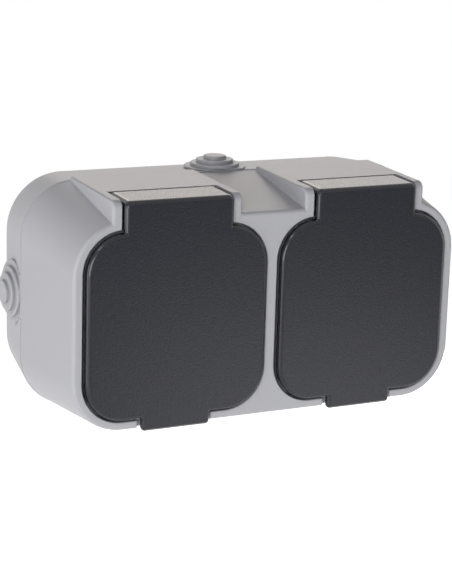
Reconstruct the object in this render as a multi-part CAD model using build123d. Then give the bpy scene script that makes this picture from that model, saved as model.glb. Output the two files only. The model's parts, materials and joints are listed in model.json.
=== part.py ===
"""Double earthed wall socket for damp rooms: two sprung lids on a surface housing, with the works inside.

Frame: X to the right seen from the front, Y into the wall, Z up.
The origin is the centre of the back face, on the wall. All sizes are in millimetres.
"""

import os
from math import radians, tan

from build123d import *

# Housing
depth = 60.0                # wall to the front of the rim
joint_depth = 22.0          # wall to the joint between base and cover
wall_width = 148.0          # outline of the base on the wall
wall_height = 76.4
wall_corner = 20.0
side_flare = 2.9            # how far the base widens from wall to joint, on each side
top_flare = 1.2
bottom_flare = 2.5
joint_corner = 19.5         # outline corner of the base at the joint
cover_corner = 19.0         # outline corner of the cover at the joint
corner_part = 20.0          # degrees of a cover corner that lie beside a hinge block
base_step = 0.3             # the base stands this proud of the cover at the joint
shell = 2.6                 # wall of base and cover
back_wall = 2.6

# Lid openings and rim
socket_pitch = 71.0
opening_width = 67.2
opening_height = 65.5
opening_corner = 14.5
opening_drop = 3.7          # centre of the openings below the centre of the back
rim_side = 3.3              # rim beside the outer openings
rim_edge = 2.8              # rim above and below the openings
rim_corner = 18.0
rim_bevel = 0.7
pan_depth = 6.0             # rim to the floor behind the lid
pan_wall = 2.0

# Hinge block over each opening
block_width = 47.0
block_rise = 9.8            # block top above the opening, at the front
block_slope = 2.4           # degrees that the block top climbs towards the wall
block_nose = 2.8            # rounding of the ears in side view
block_bevel = 0.6
slot_width = 40.3           # gap between the two ears
slot_wall = 2.0
hinge_setback = 9.8         # hinge axis behind the rim
hinge_drop = 3.0            # hinge axis below the top of the block
knuckle_radius = 3.8
knuckle_gap = 0.9           # room behind the knuckle

# Hinge pin and lid spring
pin_radius = 1.25
pin_play = 0.05             # radial play in the lid
pin_seat_play = 0.02        # radial play in the ears
pin_blind = 2.0             # depth of the hole in the left ear
pin_inset = 0.4             # end of the pin inside the right ear
spring_wire = 0.5
spring_play = 0.25          # between pin and coil
spring_length = 7.0
spring_room = 0.2           # between spring and its neighbours

# Lids
lid_gap = 0.8               # between rim and lid
lid_wall = 2.0
lid_inset = 0.1             # back of the lid behind the rim
lid_bevel = 0.9
tab_gap = 0.4               # between ears and the lid's hinge tab
tab_corner = 2.2            # rounding of the tab's upper corners
bar_inset = 0.25            # hinge bar in from the tab's sides, and the tab's front down from the bar
tab_front_wall = 2.2
tab_top_wall = 2.0
tab_rib = 1.6
lip_width = 25.1
lip_drop = 0.8              # lip below the rim
lip_corner = 1.4
lip_thickness = 4.2
lip_overlap = 2.0           # lip behind the lid's lower edge
lip_side_gap = 1.0          # beside the lip, in the rim
lip_back_gap = 0.5          # behind the lip, in the rim
skirt_inset = 3.0           # stiffening rib behind the lid, from its edge
skirt_corner = 8.0
skirt_wall = 1.6
skirt_height = 2.6
seal_corner = 13.0          # cut corner of the seal
seal_gap = 0.3              # between seal and socket collar, lid shut

# Socket inserts
well_radius = 19.5
well_depth = 17.5
well_wall = 2.0
well_floor = 2.6
collar_rise = 2.6           # collar in front of the floor behind the lid
collar_shoulder = 1.5       # collar overlap on that floor
well_play = 0.2             # round the well, in the cover
pin_hole_radius = 3.0
pin_hole_pitch = 19.0
guide_width = 5.0
guide_height = 3.0
guide_length = 14.0
insert_screw_radius = 1.7
insert_screw_head = 3.4
insert_screw_head_height = 1.8
insert_screw_bite = 6.0     # thread inside the base
screw_play = 0.2            # radial, in plain holes
thread_play = 0.05          # radial, in tapped holes

# Earth brackets and rail
earth_width = 7.5
earth_sheet = 0.8
earth_reach = 1.6           # how far the clip stands into the well
earth_play = 0.4
earth_arm = 5.0             # straight part of the arm, in front of the well's back
earth_ramp = 3.5            # slanted part, along the depth
earth_lead = 3.2            # spread of the free end, along the depth
earth_spread = 1.3
earth_rail_height = 4.4
earth_rail_gap = 0.5        # above the carrier

# Contacts and line rails
contact_width = 7.0
contact_sheet = 0.7
contact_pinch = 4.4         # gap between the two leaves
contact_mouth = 6.6
contact_body = 6.0
contact_setback = 3.0       # contact mouth behind the well floor
mouth_length = 3.0
pinch_length = 6.0
rail_sheet = 1.0
rail_width = 6.0
rail_offset = 8.0           # rail centre above or below the pin holes
rail_overrun = 4.5          # rail past the outermost contacts

# Contact carrier
carrier_plate = 3.0
carrier_half_height = 17.0
carrier_overrun = 21.5      # plate past the socket centres
carrier_post = 5.4          # base post under the carrier
carrier_post_width = 10.0
pedestal_width = 40.0
pocket_play = 0.5

# Terminals
terminal_size = 8.0
terminal_length = 9.0
terminal_sheet = 1.0
terminal_shift = 8.0        # line terminals beside the middle

# Wall fixing holes
fixing_pitch_x = 96.0
fixing_pitch_z = 54.0
fixing_radius = 2.5

# Cable grommets, from the flange to the tip
grommet_setback = 13.0      # grommet axis from the wall
grommet_radii = [11.1, 8.8, 6.7, 4.1]
grommet_heights = [0.9, 2.1, 3.4, 4.6]
grommet_neck = 8.0
grommet_play = 0.1
grommet_inner_width = 22.0
grommet_inner_wall = 1.5
side_grommet_drop = 0.4     # side grommets below the centre of the back

# Worked out from the sizes above
cut = 1.0                   # how far a cutting shape runs past a face
rim_y = -depth
joint_y = -joint_depth
pan_y = rim_y + pan_depth
pan_back_y = pan_y + pan_wall
socket_z = -opening_drop
socket_xs = {"left": -socket_pitch / 2, "right": socket_pitch / 2}
opening_top = socket_z + opening_height / 2
opening_bottom = socket_z - opening_height / 2
rim_width = socket_pitch + opening_width + 2 * rim_side
rim_height = opening_height + 2 * rim_edge
joint_width = wall_width + 2 * side_flare
joint_height = wall_height + top_flare + bottom_flare
joint_z = (top_flare - bottom_flare) / 2
block_top = opening_top + block_rise
block_climb = tan(radians(block_slope))
axis_y = rim_y + hinge_setback
axis_z = block_top + hinge_setback * block_climb - hinge_drop
slot_back_y = axis_y + knuckle_radius + knuckle_gap
lid_back_y = rim_y + lid_inset
lid_front_y = lid_back_y - lid_wall
lid_width = opening_width - 2 * lid_gap
lid_height = opening_height - 2 * lid_gap
lid_corner = opening_corner - lid_gap
tab_width = slot_width - 2 * tab_gap
lip_bottom = opening_bottom - rim_edge - lip_drop
lip_back_y = lid_front_y + lip_thickness
tube_radius = well_radius + well_wall
collar_radius = tube_radius + collar_shoulder
collar_y = pan_y - collar_rise
well_floor_y = collar_y + well_depth
well_back_y = well_floor_y + well_floor
plate_back_y = -back_wall - carrier_post
plate_front_y = plate_back_y - carrier_plate
plate_half_width = socket_pitch / 2 + carrier_overrun
coil_radius = pin_radius + spring_play + spring_wire / 2
contact_y = well_back_y + contact_setback
rail_y = plate_front_y - rail_sheet
earth_back_y = well_back_y + earth_sheet
earth_line = tube_radius + earth_play + earth_sheet / 2
earth_rail_low = socket_z + carrier_half_height + earth_rail_gap
pins = {"live": -pin_hole_pitch / 2, "neutral": pin_hole_pitch / 2}
rail_sides = {"live": 1, "neutral": -1}
sides = ("top", "bottom", "left", "right")
contact_places = {(side, line): x + pins[line] for side, x in socket_xs.items() for line in pins}
fixing_places = [(sx * fixing_pitch_x / 2, sz * fixing_pitch_z / 2) for sx in (-1, 1) for sz in (-1, 1)]


def front_plane(y, x=0.0, z=0.0):
    """A drawing plane that faces the front: local X is X, local Y is Z."""
    return Plane(origin=(x, y, z), x_dir=(1, 0, 0), z_dir=(0, -1, 0))


def side_plane(x):
    """A drawing plane that faces right: local X is Y, local Y is Z."""
    return Plane(origin=(x, 0, 0), x_dir=(0, 1, 0), z_dir=(1, 0, 0))


def rounded(width, height, corner, y, x=0.0, z=0.0):
    """A rounded rectangle that faces the front."""
    return front_plane(y, x, z) * RectangleRounded(width, height, corner)


def cut_square(width, height, corner, y, x=0.0, z=0.0):
    """A rectangle with cut corners that faces the front."""
    return front_plane(y, x, z) * chamfer(Rectangle(width, height).vertices(), corner)


def parted(width, height, corner):
    """A rounded rectangle whose corners are two arcs each, parted beside its long edges."""
    long_part = 90 - corner_part
    across = width / 2 - corner
    up = height / 2 - corner
    corners = [
        ((across, up), 0, (long_part, corner_part)),
        ((-across, up), 90, (corner_part, long_part)),
        ((-across, -up), 180, (long_part, corner_part)),
        ((across, -up), 270, (corner_part, long_part)),
    ]
    edges = []
    for middle, start, parts in corners:
        for part in parts:
            edges.append(CenterArc(middle, corner, start, part))
            start += part
    runs = [Line(edges[end] @ 1, edges[(end + 1) % len(edges)] @ 0) for end in range(1, len(edges), 2)]
    return make_face(edges + runs)


def about(middle, half):
    """The span of that half width about a place."""
    return (middle - half, middle + half)


def box(x_span, y_span, z_span):
    """A box between two places on each axis."""
    spans = [x_span, y_span, z_span]
    sizes = [high - low for low, high in spans]
    middle = [(low + high) / 2 for low, high in spans]
    return Pos(*middle) * Box(*sizes)


def rod_y(radius, y_from, y_to, x=0.0, z=0.0):
    """A round bar along the depth."""
    return Pos(x, (y_from + y_to) / 2, z) * Cylinder(radius, y_to - y_from, rotation=(90, 0, 0))


def rod_x(radius, x_from, x_to, y, z):
    """A round bar across the width."""
    return Pos((x_from + x_to) / 2, y, z) * Cylinder(radius, x_to - x_from, rotation=(0, 90, 0))


def screw(x, z, seat_y, radius, length, head_radius, head_height):
    """A cheese-head screw driven towards the wall, with its head on the given seat."""
    shank = rod_y(radius, seat_y, seat_y + length, x, z)
    return shank + rod_y(head_radius, seat_y - head_height, seat_y, x, z)


def base_outline(share, inset=0.0):
    """Outline of the base between the wall (share 0) and the joint (share 1), drawn in by inset."""
    width = wall_width + share * (joint_width - wall_width)
    height = wall_height + share * (joint_height - wall_height)
    corner = wall_corner + share * (joint_corner - wall_corner)
    return rounded(width - 2 * inset, height - 2 * inset, corner - inset,
                   share * joint_y, 0.0, share * joint_z)


def base_form(inset=0.0, back=0.0):
    """The base's tapered body, drawn in by inset, from a distance off the wall to the joint."""
    return loft([base_outline(back / joint_depth, inset), base_outline(1.0, inset)])


def cover_outline(y, inset=0.0):
    """Outline of the cover at a depth between joint and rim, drawn in by inset."""
    share = (y - joint_y) / (rim_y - joint_y)
    width = joint_width - 2 * base_step
    height = joint_height - 2 * base_step
    outline = parted(
        width + share * (rim_width - width) - 2 * inset,
        height + share * (rim_height - height) - 2 * inset,
        cover_corner + share * (rim_corner - cover_corner) - inset)
    return front_plane(y, 0.0, joint_z + share * (socket_z - joint_z)) * outline


def cover_form(inset=0.0, front_y=rim_y):
    """The cover's tapered body, drawn in by inset, from the joint to the given depth."""
    return loft([cover_outline(joint_y, inset), cover_outline(front_y, inset)])


def block_profile(front_y, back_y, inset=0.0, low=socket_z):
    """Side view of a hinge block down to a height, drawn in by inset from its top."""
    front_top = block_top + (front_y - rim_y) * block_climb - inset
    back_top = block_top + (back_y - rim_y) * block_climb - inset
    corners = [(front_y, low), (back_y, low), (back_y, back_top), (front_y, front_top)]
    return make_face(Polyline(*corners, close=True))


def hinge_block(x):
    """The raised block over one opening, rounded over its nose and bevelled along its edges."""
    profile = block_profile(rim_y, joint_y)
    nose = profile.vertices().sort_by_distance((rim_y, block_top, 0))[0]
    profile = fillet(nose, block_nose)
    block = extrude(side_plane(x - block_width / 2) * profile, block_width)
    edges = [edge for face in block.faces().filter_by(Axis.X) for edge in face.edges()]
    shown = [edge for edge in edges if edge.center().Z > socket_z + cut and edge.center().Y < joint_y - cut]
    return chamfer(shown, block_bevel)


def block_core(x):
    """The hollow inside a hinge block, between the hinge slot and the rear of the block."""
    profile = block_profile(slot_back_y + slot_wall, joint_y - shell, shell)
    half = slot_width / 2 - slot_wall
    return extrude(side_plane(x - half) * profile, 2 * half)


def hinge_slot(x):
    """The gap between the ears, with a round back that the lid's knuckle turns in."""
    across = about(x, slot_width / 2)
    slot = box(across, (rim_y - cut, slot_back_y), (opening_top - slot_wall / 2, axis_z))
    slot += box(across, (rim_y - cut, axis_y), (axis_z - cut, axis_z + hinge_drop + cut))
    return slot + rod_x(knuckle_radius + knuckle_gap, *across, axis_y, axis_z)


def make_cover():
    """Front cover: a tapered shell with two floors behind the lids and a hinge block over each."""
    bevel_y = rim_y + rim_bevel
    body = cover_form(0.0, bevel_y) + loft([cover_outline(bevel_y), cover_outline(rim_y, rim_bevel)])
    for x in socket_xs.values():
        body += hinge_block(x)
    body -= cover_form(shell, pan_back_y)
    for x in socket_xs.values():
        body -= block_core(x)
        body += box(about(x, slot_width / 2 + slot_wall), (pan_back_y, slot_back_y + slot_wall),
                    (opening_top - slot_wall, axis_z))
        body -= hinge_slot(x)
        body -= extrude(rounded(opening_width, opening_height, opening_corner, rim_y - cut, x, socket_z),
                        -pan_depth - cut)
        body -= box(about(x, lip_width / 2 + lip_side_gap), (rim_y - cut, lip_back_y + lip_back_gap),
                    (lip_bottom - cut, opening_bottom + cut))
        body -= rod_y(tube_radius + well_play, pan_y - cut, pan_back_y + cut, x, socket_z)
        body -= rod_x(pin_radius + pin_seat_play, x - slot_width / 2 - pin_blind, x + block_width / 2 + cut,
                      axis_y, axis_z)
    return body


def grommet_plane(side):
    """A plane on the outside of the base at one cable entry: local Z points out, local X to the front."""
    share = grommet_setback / joint_depth
    half_width = wall_width / 2 + share * side_flare
    top = wall_height / 2 + share * top_flare
    bottom = -wall_height / 2 - share * bottom_flare
    x, z, out = {
        "top": (0.0, top, (0, 0, 1)),
        "bottom": (0.0, bottom, (0, 0, -1)),
        "left": (-half_width, -side_grommet_drop, (-1, 0, 0)),
        "right": (half_width, -side_grommet_drop, (1, 0, 0)),
    }[side]
    return Plane(origin=(x, -grommet_setback, z), x_dir=(0, -1, 0), z_dir=out)


def entry_slot(side, play=0.0):
    """The U-shaped cable entry, open to the joint, as a bar through the base wall."""
    radius = grommet_neck - play
    reach = joint_depth - grommet_setback
    shape = Circle(radius) + Pos(reach / 2, 0) * Rectangle(reach, 2 * radius)
    return extrude(grommet_plane(side) * shape, 2 * shell, both=True)


def make_base():
    """Rear base: a flared tray with cable entries, screw posts and wall fixing holes."""
    body = base_form() - base_form(shell, back_wall)
    for x in socket_xs.values():
        half = carrier_post_width / 2
        body += box(about(x, half), (plate_back_y, -back_wall / 2), about(socket_z, half))
        body -= rod_y(insert_screw_radius + thread_play, plate_back_y - cut,
                      plate_back_y + insert_screw_bite + thread_play, x, socket_z)
    for x, z in fixing_places:
        body -= rod_y(fixing_radius, -back_wall - cut, cut, x, z)
    for side in sides:
        body -= entry_slot(side)
    return body


def make_grommet(side):
    """Stepped cable grommet: rings on a flange outside, a neck in the slot and a square flange inside."""
    place = grommet_plane(side)
    root = 2 * shell
    steps = [Pos(0, 0, (height - root) / 2) * Cylinder(radius, height + root)
             for radius, height in zip(grommet_radii, grommet_heights)]
    flange, *rings = steps
    reach = joint_depth - grommet_setback - grommet_play
    width = 2 * grommet_radii[0]
    dome = flange.fuse(*rings) - Pos(reach + width / 2, 0, 0) * Box(width, width, 4 * root)
    dome = place * dome - base_form()
    neck = entry_slot(side, grommet_play) & (base_form() - base_form(shell, back_wall))
    plug = place * Box(grommet_inner_width, grommet_inner_width, 4 * root)
    inner = plug & (base_form(shell, back_wall) - base_form(shell + grommet_inner_wall, back_wall))
    return dome + neck + inner


def lid_face(x):
    """Front outline of a lid: plate, hinge tab and finger lip."""
    plate = RectangleRounded(lid_width, lid_height, lid_corner)
    tab_height = block_top - bar_inset - socket_z
    tab = Pos(0, tab_height / 2) * Rectangle(tab_width, tab_height)
    tab = fillet(tab.vertices().group_by(Axis.Y)[-1], tab_corner)
    lip_height = socket_z - lip_bottom
    lip = Pos(0, -lip_height / 2) * RectangleRounded(lip_width, lip_height, lip_corner)
    return front_plane(lid_back_y, x, socket_z) * (plate + tab + lip)


def skirt_face(x, inset):
    """Outline of the stiffening skirt behind a lid, with cut corners, drawn in by inset from the lid."""
    return cut_square(lid_width - 2 * inset, lid_height - 2 * inset, skirt_corner, lid_back_y, x, socket_z)


def hinge_bar(x, low):
    """The bar behind a lid's tab: level with the block on top, and ending in the round knuckle."""
    reach = 2 * knuckle_radius
    behind = Pos(axis_y + reach / 2, axis_z) * Rectangle(reach, 2 * reach)
    bar = block_profile(lid_back_y, slot_back_y, 0.0, low)
    bar -= behind - Pos(axis_y, axis_z) * Circle(knuckle_radius)
    half = tab_width / 2 - bar_inset
    bar = extrude(side_plane(x - half) * bar, 2 * half)
    ends = bar.faces().sort_by(Axis.Z)[-1].edges().sort_by(Axis.X)
    return fillet([ends[0], ends[-1]], tab_corner)


def make_lid(x):
    """Sprung lid: a thin plate with a cored hinge tab, a finger lip and a stiffening skirt."""
    body = extrude(lid_face(x), lid_wall)
    body = chamfer(body.faces().sort_by(Axis.Y)[0].edges(), lid_bevel)
    low = axis_z - knuckle_radius
    body += hinge_bar(x, low)
    pocket_y = lid_front_y + tab_front_wall
    coil_half = spring_length / 2 + spring_room
    coil_top = axis_z + coil_radius + spring_wire / 2 + spring_room
    body -= box(about(x, coil_half), (pocket_y, axis_y + knuckle_radius + cut), (low - cut, coil_top))
    core_half = (tab_width / 2 - coil_half - 2 * tab_rib) / 2
    for sign in (-1, 1):
        middle = x + sign * (coil_half + tab_rib + core_half)
        body -= box(about(middle, core_half), (pocket_y, axis_y - knuckle_radius),
                    (low - cut, block_top - tab_top_wall))
    body -= rod_x(pin_radius + pin_play, x - tab_width / 2 - cut, x + tab_width / 2 + cut, axis_y, axis_z)
    outer, inner = [skirt_face(x, inset) for inset in (skirt_inset, skirt_inset + skirt_wall)]
    body += extrude(outer - inner, -skirt_height)
    body += box(about(x, lip_width / 2 - lip_corner), (lid_back_y, lip_back_y),
                (lip_bottom + lip_corner / 2, opening_bottom + lid_gap + lip_overlap))
    return body


def make_lid_seal(x):
    """Rubber pad in the lid, which closes on the socket's collar."""
    face = cut_square(2 * collar_radius, 2 * collar_radius, seal_corner, lid_back_y, x, socket_z)
    return extrude(face, lid_back_y - collar_y + seal_gap)


def make_hinge_pin(x):
    """Steel pin, pushed in from the right ear."""
    left_end = x - slot_width / 2 - pin_blind + pin_seat_play
    return rod_x(pin_radius, left_end, x + block_width / 2 - pin_inset, axis_y, axis_z)


def make_lid_spring(x):
    """Close-wound torsion spring on the pin: one leg in the lid, one led below the knuckle to the cover."""
    ends = about(x, spring_length / 2)
    coil = rod_x(coil_radius + spring_wire / 2, *ends, axis_y, axis_z)
    coil -= rod_x(coil_radius - spring_wire / 2, ends[0] - cut, ends[1] + cut, axis_y, axis_z)
    lid_end = lid_front_y + tab_front_wall + 2 * spring_room
    cover_end = slot_back_y - spring_room
    foot_z = axis_z - knuckle_radius - knuckle_gap
    half = spring_wire / 2
    lid_side, cover_side = about(ends[0] + half, half), about(ends[1] - half, half)
    coil += box(lid_side, (lid_end, axis_y), about(axis_z + coil_radius, half))
    coil += box(cover_side, about(axis_y, half), (foot_z, axis_z - coil_radius))
    coil += box(cover_side, (axis_y - half, cover_end), about(foot_z, half))
    return coil


def make_insert(x):
    """Round socket well with pin holes, side guides and earth windows; its collar clamps the cover."""
    body = rod_y(collar_radius, collar_y, pan_y, x, socket_z)
    body += rod_y(tube_radius, pan_y, well_back_y, x, socket_z)
    body -= rod_y(well_radius, collar_y - cut, well_floor_y, x, socket_z)
    clip_front = well_back_y - earth_arm - earth_ramp - earth_lead - earth_play
    for sign in (-1, 1):
        middle = x + sign * (well_radius - guide_height / 2 + well_wall / 4)
        body += box(about(middle, guide_height / 2 + well_wall / 4),
                    (well_floor_y - guide_length, well_floor_y), about(socket_z, guide_width / 2))
        window = about(socket_z + sign * (well_radius + well_wall / 2), well_wall)
        body -= box(about(x, earth_width / 2 + earth_play), (clip_front, well_floor_y), window)
    for offset in pins.values():
        body -= rod_y(pin_hole_radius, well_floor_y - cut, well_back_y + cut, x + offset, socket_z)
    body -= rod_y(insert_screw_radius + screw_play, well_floor_y - cut, well_back_y + cut, x, socket_z)
    return body


def make_earth_bracket(x):
    """Bent strip behind the well, with a sprung clip through each window."""
    strip_y = well_back_y + earth_sheet / 2
    arm_y = well_back_y - earth_arm
    tip_y = arm_y - earth_ramp
    tip = well_radius - earth_reach + earth_sheet / 2
    end_y = tip_y - earth_lead
    half = [(strip_y, earth_line), (arm_y, earth_line), (tip_y, tip), (end_y, tip + earth_spread)]
    path = Polyline(*[(y, -z) for y, z in reversed(half)], *half)
    section = Pos(0, socket_z) * trace(path, earth_sheet)
    strip = extrude(side_plane(x - earth_width / 2) * section, earth_width)
    strip -= rod_y(insert_screw_radius + screw_play, well_back_y - cut, earth_back_y + cut, x, socket_z)
    return strip


def make_earth_rail():
    """Flat link behind the two earth brackets."""
    half = socket_pitch / 2 + earth_width / 2
    return box((-half, half), (earth_back_y, earth_back_y + rail_sheet),
               (earth_rail_low, earth_rail_low + earth_rail_height))


def rail_face(line, grow=0.0):
    """Front outline of one line rail: a strip with a tab under each contact, grown by a margin."""
    places = sorted(place for (side, name), place in contact_places.items() if name == line)
    low, high = places[0] - rail_overrun - grow, places[-1] + rail_overrun + grow
    side = rail_sides[line]
    strip = Pos((low + high) / 2, side * rail_offset) * Rectangle(high - low, rail_width + 2 * grow)
    reach = rail_offset + contact_width / 2 + grow
    for place in places:
        strip += Pos(place, side * (rail_offset - reach / 2)) * Rectangle(contact_width + 2 * grow, reach)
    return strip


def make_line_rail(line):
    """Stamped rail that joins the same contacts of both sockets."""
    return extrude(front_plane(plate_front_y, 0.0, socket_z) * rail_face(line), rail_sheet)


def make_contact(x):
    """Bent contact with two sprung leaves that grip a plug's pin."""
    foot = rail_y - contact_sheet / 2
    wide = (contact_body + contact_sheet) / 2
    tight = (contact_pinch + contact_sheet) / 2
    mouth = (contact_mouth + contact_sheet) / 2
    pinch_y = contact_y + mouth_length
    half = [(wide, foot), (wide, pinch_y + pinch_length), (tight, pinch_y), (mouth, contact_y)]
    path = Polyline(*[(-across, y) for across, y in reversed(half)], *half)
    section = Pos(x, 0) * trace(path, contact_sheet)
    low = Plane(origin=(0, 0, socket_z - contact_width / 2), x_dir=(1, 0, 0), z_dir=(0, 0, 1))
    return extrude(low * section, contact_width)


def make_carrier():
    """Moulded carrier: a plate with a pedestal under each socket, slotted for rails and contacts."""
    height = about(socket_z, carrier_half_height)
    body = box((-plate_half_width, plate_half_width), (plate_front_y, plate_back_y), height)
    for x in socket_xs.values():
        body += box(about(x, pedestal_width / 2), (well_back_y, plate_front_y), height)
        body -= box(about(x, earth_width / 2 + earth_play), (well_back_y - cut, earth_back_y),
                    about(socket_z, carrier_half_height + cut))
        body -= rod_y(insert_screw_radius + screw_play, well_back_y - cut, plate_back_y + cut, x, socket_z)
    floor = front_plane(plate_front_y, 0.0, socket_z)
    for line in pins:
        body -= extrude(floor * rail_face(line, pocket_play), plate_front_y - well_back_y + cut)
    for x in contact_places.values():
        body -= box(about(x, contact_mouth / 2 + contact_sheet + pocket_play),
                    (well_back_y - cut, plate_front_y), about(socket_z, contact_width / 2 + pocket_play))
    return body


def make_terminal(x, z, front_y):
    """Push-in wire terminal: a folded cage, open above and below."""
    half = terminal_size / 2
    hollow = half - terminal_sheet
    back_y = front_y + terminal_length
    cage = box(about(x, half), (front_y, back_y), about(z, half))
    inside = (front_y + terminal_sheet, back_y - terminal_sheet)
    return cage - box(about(x, hollow), inside, about(z, half + cut))


def make_insert_screws():
    """One long screw in the middle of each well, through the carrier into the base."""
    length = plate_back_y + insert_screw_bite - well_floor_y
    sizes = (insert_screw_radius, length, insert_screw_head, insert_screw_head_height)
    return Compound(children=[screw(x, socket_z, well_floor_y, *sizes) for x in socket_xs.values()])


nodes = {
    "rear_base": make_base(),
    "front_cover": make_cover(),
    "contact_carrier": make_carrier(),
    "earth_rail": make_earth_rail(),
    "earth_terminal": make_terminal(0.0, earth_rail_low + earth_rail_height / 2, earth_back_y + rail_sheet),
    "cable_grommets": Compound(children=[make_grommet(side) for side in sides]),
    "insert_screws": make_insert_screws(),
}
for name, place in socket_xs.items():
    nodes[f"lid_{name}"] = make_lid(place)
    nodes[f"lid_seal_{name}"] = make_lid_seal(place)
    nodes[f"hinge_pin_{name}"] = make_hinge_pin(place)
    nodes[f"lid_spring_{name}"] = make_lid_spring(place)
    nodes[f"socket_insert_{name}"] = make_insert(place)
    nodes[f"earth_bracket_{name}"] = make_earth_bracket(place)
for name, side in rail_sides.items():
    nodes[f"{name}_rail"] = make_line_rail(name)
    nodes[f"{name}_terminal"] = make_terminal(-side * terminal_shift, socket_z + side * rail_offset,
                                              rail_y - terminal_length)
for (name, line), place in contact_places.items():
    nodes[f"{line}_contact_{name}"] = make_contact(place)

os.makedirs("parts", exist_ok=True)
for name, solid in nodes.items():
    export_step(solid, f"parts/{name}.step")
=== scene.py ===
# %% [markdown]
# A double wall socket for damp rooms
#
# The object is a light grey surface housing with two anthracite lids on sprung hinges. The solids come
# from the frame, at their real size and place. This lesson dresses them: it rounds the moulded edges,
# winds the springs, cuts the screw heads and gives every surface its finish.

# %% Load the frame
import json
import math

import bmesh
import bpy
from mathutils import Matrix, Vector


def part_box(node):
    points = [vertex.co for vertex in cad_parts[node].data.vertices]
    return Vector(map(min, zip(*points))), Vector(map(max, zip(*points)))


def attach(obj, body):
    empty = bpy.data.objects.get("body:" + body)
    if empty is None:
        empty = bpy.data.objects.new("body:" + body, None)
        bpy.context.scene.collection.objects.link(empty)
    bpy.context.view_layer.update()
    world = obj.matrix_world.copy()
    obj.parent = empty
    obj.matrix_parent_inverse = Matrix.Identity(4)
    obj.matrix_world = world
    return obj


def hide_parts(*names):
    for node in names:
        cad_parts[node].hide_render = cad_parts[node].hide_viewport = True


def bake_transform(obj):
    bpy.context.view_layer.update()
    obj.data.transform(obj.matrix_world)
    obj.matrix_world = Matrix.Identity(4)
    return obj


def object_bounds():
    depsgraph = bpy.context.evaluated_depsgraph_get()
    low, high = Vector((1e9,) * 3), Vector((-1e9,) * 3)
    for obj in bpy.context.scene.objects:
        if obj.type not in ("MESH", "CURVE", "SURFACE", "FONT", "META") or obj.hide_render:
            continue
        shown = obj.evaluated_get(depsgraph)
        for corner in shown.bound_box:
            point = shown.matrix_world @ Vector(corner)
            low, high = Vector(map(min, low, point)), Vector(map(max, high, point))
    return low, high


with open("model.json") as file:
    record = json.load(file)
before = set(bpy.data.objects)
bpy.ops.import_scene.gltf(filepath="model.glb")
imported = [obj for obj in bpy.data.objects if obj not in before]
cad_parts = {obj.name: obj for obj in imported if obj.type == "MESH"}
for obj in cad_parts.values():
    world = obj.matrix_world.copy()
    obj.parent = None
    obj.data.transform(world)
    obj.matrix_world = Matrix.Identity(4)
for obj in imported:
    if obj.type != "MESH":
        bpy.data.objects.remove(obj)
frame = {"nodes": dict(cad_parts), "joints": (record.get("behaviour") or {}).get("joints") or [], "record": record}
cad_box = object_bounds()
nodes = frame["nodes"]
MM = 0.001
SIDES = ("left", "right")
print("nodes", len(nodes), "box", [[round(value, 4) for value in corner] for corner in cad_box])

# %% [markdown]
# Camera
#
# The photograph was taken from the left, a little above, with a long lens. A camera could be moved by
# eye until it looks right. Here it is worked out from two turns, a slight tilt about the lens, a
# distance and the picture point that shows the middle of the front, so that each of these can be mended
# by itself. A focal length in picture points becomes a lens length through the sensor's height.

# %% Set up the camera
PICTURE_SIZE = (452, 584)
FOCAL_POINTS = 1812.4
VIEW_YAW = math.radians(26.55)
VIEW_PITCH = math.radians(13.83)
VIEW_ROLL = math.radians(1.69)
VIEW_DISTANCE = 0.6192
FRONT_MIDDLE = Vector((0.0, -0.060, -0.00087))
MIDDLE_POINT = (271.1, 305.4)
SENSOR_HEIGHT = 36.0


def make_camera():
    """A camera that shows the front's middle at its place in the picture."""
    back = Vector((-math.sin(VIEW_YAW) * math.cos(VIEW_PITCH),
                   -math.cos(VIEW_YAW) * math.cos(VIEW_PITCH), math.sin(VIEW_PITCH)))
    right = Vector((0, 0, 1)).cross(back).normalized()
    up = back.cross(right)
    across = math.cos(VIEW_ROLL) * right + math.sin(VIEW_ROLL) * up
    upward = -math.sin(VIEW_ROLL) * right + math.cos(VIEW_ROLL) * up
    shift_x = (MIDDLE_POINT[0] - PICTURE_SIZE[0] / 2) / FOCAL_POINTS * VIEW_DISTANCE
    shift_y = (PICTURE_SIZE[1] / 2 - MIDDLE_POINT[1]) / FOCAL_POINTS * VIEW_DISTANCE
    eye = FRONT_MIDDLE + VIEW_DISTANCE * back - shift_x * across - shift_y * upward
    data = bpy.data.cameras.new("camera")
    data.sensor_fit = "VERTICAL"
    data.sensor_height = SENSOR_HEIGHT
    data.lens = FOCAL_POINTS * SENSOR_HEIGHT / PICTURE_SIZE[1]
    camera = bpy.data.objects.new("camera", data)
    bpy.context.scene.collection.objects.link(camera)
    turn = Matrix((across, upward, back)).transposed().to_4x4()
    camera.matrix_world = Matrix.Translation(eye) @ turn
    bpy.context.scene.camera = camera
    print("camera at", [round(value, 4) for value in eye], "lens", round(data.lens, 1))


make_camera()

# %% [markdown]
# White surroundings
#
# The part is shown on plain white. A bright backdrop would also throw its light on the part and flatten
# its form. So the world tells rays apart by Light Path: camera, mirror and glass rays see it as white,
# and for the light that the part receives it stays dim, a little brighter from below, as over a pale
# table.

# %% Make the world
WHITE = (1.0, 1.0, 1.0, 1.0)
SKY_LIGHT = 0.08
GROUND_LIGHT = 0.30
HORIZON_BLEND = 0.4


def seen_directly(tree):
    """A factor that is 1 for camera, glossy and transmission rays and 0 for the light on a surface."""
    path = tree.nodes.new("ShaderNodeLightPath")
    factor = path.outputs["Is Camera Ray"]
    for label in ("Is Glossy Ray", "Is Transmission Ray"):
        either = tree.nodes.new("ShaderNodeMath")
        either.operation = "MAXIMUM"
        tree.links.new(factor, either.inputs[0])
        tree.links.new(path.outputs[label], either.inputs[1])
        factor = either.outputs[0]
    return factor


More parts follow.
